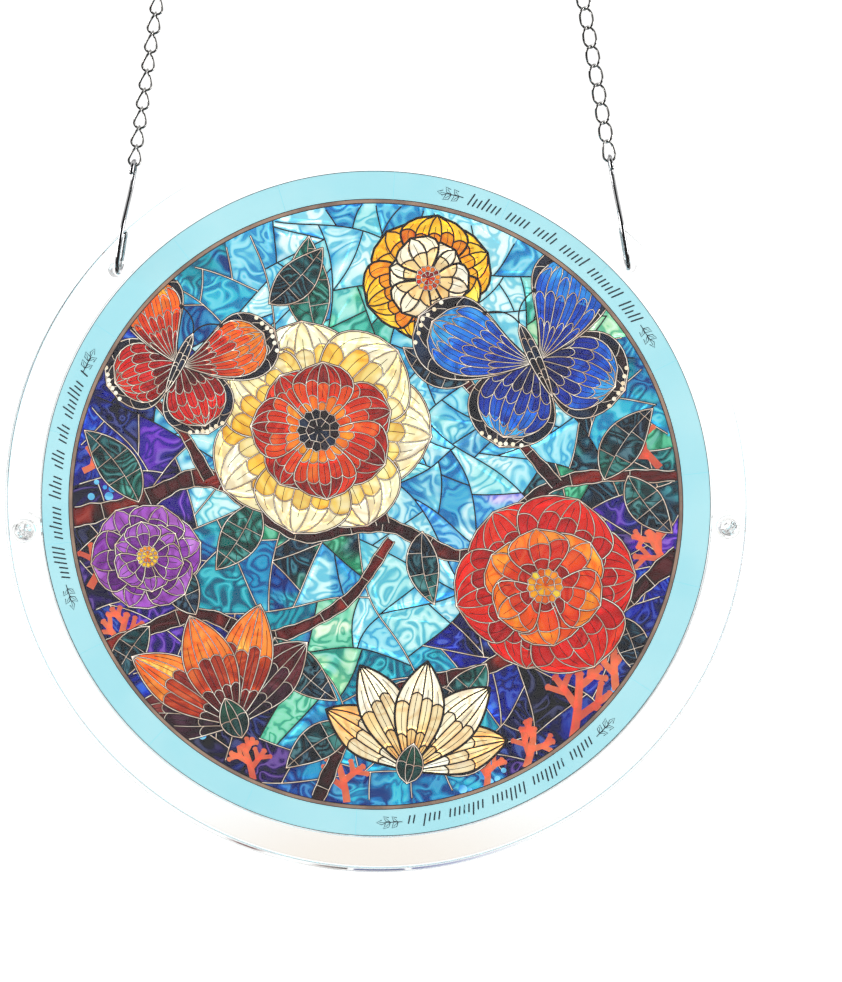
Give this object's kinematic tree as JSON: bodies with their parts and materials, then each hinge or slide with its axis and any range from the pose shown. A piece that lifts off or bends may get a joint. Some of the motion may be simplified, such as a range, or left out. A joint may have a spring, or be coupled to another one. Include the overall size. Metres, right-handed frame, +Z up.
{
  "type": "acrylic puzzle suncatcher",
  "caption": "Round clear acrylic case holding a printed stained-glass style jigsaw puzzle, hung by hooks on short chains with end rings.",
  "frame": {"origin": "midway between the inner tops of the two end rings, where the part hangs", "axes": "+Z up along the hanging direction, +X to the right seen from the front, the front faces -Y"},
  "size_m": [0.188, 0.0133, 0.2377],
  "materials": {
    "clear_acrylic": "clear, polished",
    "printed_acrylic": "gloss, printed on both faces",
    "clear_plastic": "clear, moulded",
    "chain_steel": "plated, bright",
    "bright_steel": "polished"
  },
  "bodies": {
    "root": {"back_tray": "clear_acrylic", "front_cover": "clear_acrylic", "puzzle_hub": "printed_acrylic", "puzzle_inner_01": "printed_acrylic", "puzzle_inner_02": "printed_acrylic", "puzzle_inner_03": "printed_acrylic", "puzzle_inner_04": "printed_acrylic", "puzzle_inner_05": "printed_acrylic", "puzzle_inner_06": "printed_acrylic", "puzzle_middle_01": "printed_acrylic", "puzzle_middle_02": "printed_acrylic", "puzzle_middle_03": "printed_acrylic", "puzzle_middle_04": "printed_acrylic", "puzzle_middle_05": "printed_acrylic", "puzzle_middle_06": "printed_acrylic", "puzzle_middle_07": "printed_acrylic", "puzzle_middle_08": "printed_acrylic", "puzzle_middle_09": "printed_acrylic", "puzzle_middle_10": "printed_acrylic", "puzzle_middle_11": "printed_acrylic", "puzzle_middle_12": "printed_acrylic", "puzzle_outer_01": "printed_acrylic", "puzzle_outer_02": "printed_acrylic", "puzzle_outer_03": "printed_acrylic", "puzzle_outer_04": "printed_acrylic", "puzzle_outer_05": "printed_acrylic", "puzzle_outer_06": "printed_acrylic", "puzzle_outer_07": "printed_acrylic", "puzzle_outer_08": "printed_acrylic", "puzzle_outer_09": "printed_acrylic", "puzzle_outer_10": "printed_acrylic", "puzzle_outer_11": "printed_acrylic", "puzzle_outer_12": "printed_acrylic", "puzzle_outer_13": "printed_acrylic", "puzzle_outer_14": "printed_acrylic", "puzzle_outer_15": "printed_acrylic", "puzzle_outer_16": "printed_acrylic", "puzzle_outer_17": "printed_acrylic", "puzzle_outer_18": "printed_acrylic", "screw_left": "clear_plastic", "nut_left": "clear_plastic", "hook_left": "bright_steel", "chain_left": "chain_steel", "ring_left": "bright_steel", "screw_right": "clear_plastic", "nut_right": "clear_plastic", "hook_right": "bright_steel", "chain_right": "chain_steel", "ring_right": "bright_steel"}
  },
  "joints": []
}
